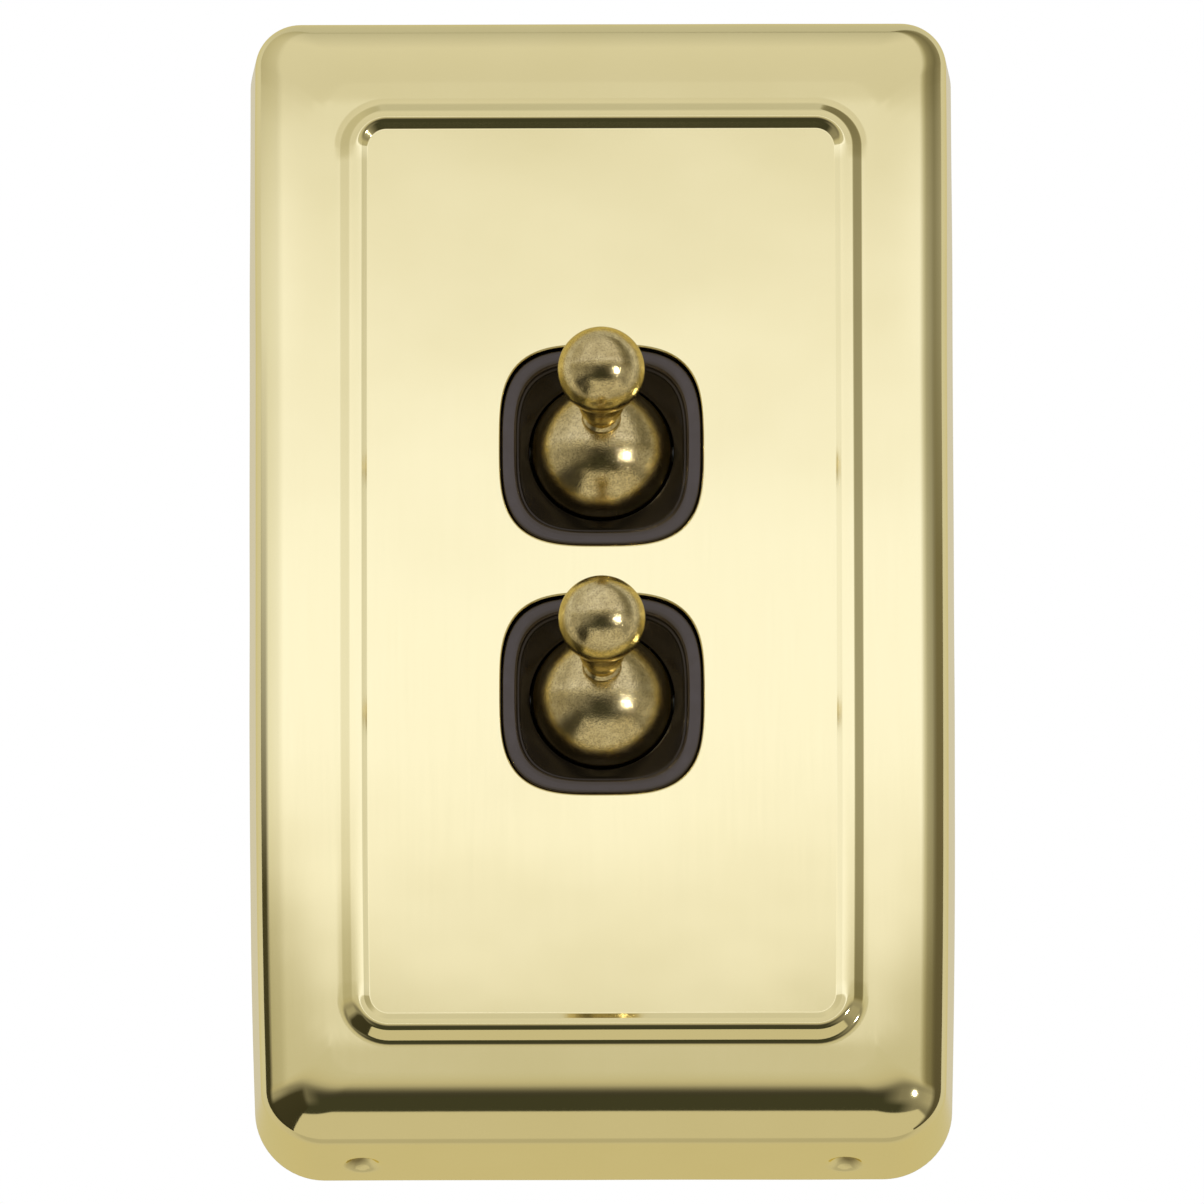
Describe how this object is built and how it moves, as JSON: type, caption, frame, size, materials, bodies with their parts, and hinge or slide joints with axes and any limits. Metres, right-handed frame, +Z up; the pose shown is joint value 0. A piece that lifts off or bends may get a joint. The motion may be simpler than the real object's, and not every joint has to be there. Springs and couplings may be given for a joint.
{
  "type": "toggle wall switch",
  "caption": "Upright pressed brass wall switch plate with a raised bead frame and ball-ended toggles in dark squircle bezels, over a base frame with change-over switch mechanisms.",
  "frame": {"origin": "middle of the plate on the wall plane, at the base frame's back face", "axes": "+Z up the wall, -Y out of the wall towards the user, +X to the user's right"},
  "size_m": [0.072, 0.0517, 0.1204],
  "materials": {
    "polished_brass": "bright polished, lacquered",
    "worn_brass": "polished, slightly worn and pitted",
    "plain_brass": "as machined",
    "copper": "bright rolled copper alloy strip",
    "silver": "silver alloy contact face",
    "steel": "zinc plated",
    "brown_plastic": "glossy moulded",
    "cream_plastic": "satin moulded",
    "grey_plastic": "satin moulded"
  },
  "bodies": {
    "base": {"base_frame": "cream_plastic", "fixing_screws": "steel", "upper_bezel": "brown_plastic", "upper_housing": "grey_plastic", "upper_terminal_housing": "grey_plastic", "upper_fixed_tips": "silver", "upper_terminal_1": "plain_brass", "upper_terminal_2": "plain_brass", "upper_terminal_common": "plain_brass", "upper_terminal_screws": "steel", "lower_bezel": "brown_plastic", "lower_housing": "grey_plastic", "lower_terminal_housing": "grey_plastic", "lower_fixed_tips": "silver", "lower_terminal_1": "plain_brass", "lower_terminal_2": "plain_brass", "lower_terminal_common": "plain_brass", "lower_terminal_screws": "steel"},
    "cover": {"cover_plate": "polished_brass"},
    "toggle_upper": {"upper_knob": "worn_brass", "upper_dome": "worn_brass", "upper_core": "cream_plastic", "upper_pivot_pin": "steel", "upper_plunger_spring": "steel"},
    "plunger_upper": {"upper_plunger": "plain_brass"},
    "rocker_upper": {"upper_rocker": "cream_plastic", "upper_rocker_pin": "steel", "upper_moving_contact": "copper", "upper_moving_tips": "silver"},
    "toggle_lower": {"lower_knob": "worn_brass", "lower_dome": "worn_brass", "lower_core": "cream_plastic", "lower_pivot_pin": "steel", "lower_plunger_spring": "steel"},
    "plunger_lower": {"lower_plunger": "plain_brass"},
    "rocker_lower": {"lower_rocker": "cream_plastic", "lower_rocker_pin": "steel", "lower_moving_contact": "copper", "lower_moving_tips": "silver"}
  },
  "joints": [
    {"name": "cover_release", "type": "slide", "parent": "base", "child": "cover", "axis": [0, -1, 0], "range_m": [0, 0.03]},
    {"name": "toggle_upper_throw", "type": "hinge", "parent": "base", "child": "toggle_upper", "pos_m": [0, -0.0103, 0.0136], "axis": [1, 0, 0], "range_deg": [0, 36]},
    {"name": "rocker_upper_tilt", "type": "hinge", "parent": "base", "child": "rocker_upper", "pos_m": [0, 0.0027, 0.0136], "axis": [1, 0, 0], "range_deg": [-16, 0]},
    {"name": "plunger_upper_spring", "type": "slide", "parent": "toggle_upper", "child": "plunger_upper", "axis": [0, -0.9511, 0.309], "range_m": [0, 0.0006], "stiffness_N_per_m": 800, "springref_m": -0.0008, "deforming": ["upper_plunger_spring"]},
    {"name": "toggle_lower_throw", "type": "hinge", "parent": "base", "child": "toggle_lower", "pos_m": [0, -0.0103, -0.0126], "axis": [1, 0, 0], "range_deg": [0, 36]},
    {"name": "rocker_lower_tilt", "type": "hinge", "parent": "base", "child": "rocker_lower", "pos_m": [0, 0.0027, -0.0126], "axis": [1, 0, 0], "range_deg": [-16, 0]},
    {"name": "plunger_lower_spring", "type": "slide", "parent": "toggle_lower", "child": "plunger_lower", "axis": [0, -0.9511, 0.309], "range_m": [0, 0.0006], "stiffness_N_per_m": 800, "springref_m": -0.0008, "deforming": ["lower_plunger_spring"]}
  ],
  "couplings": [
    {"joint": "rocker_upper_tilt", "follows": "toggle_upper_throw", "ratio": -0.4444},
    {"joint": "rocker_lower_tilt", "follows": "toggle_lower_throw", "ratio": -0.4444}
  ]
}
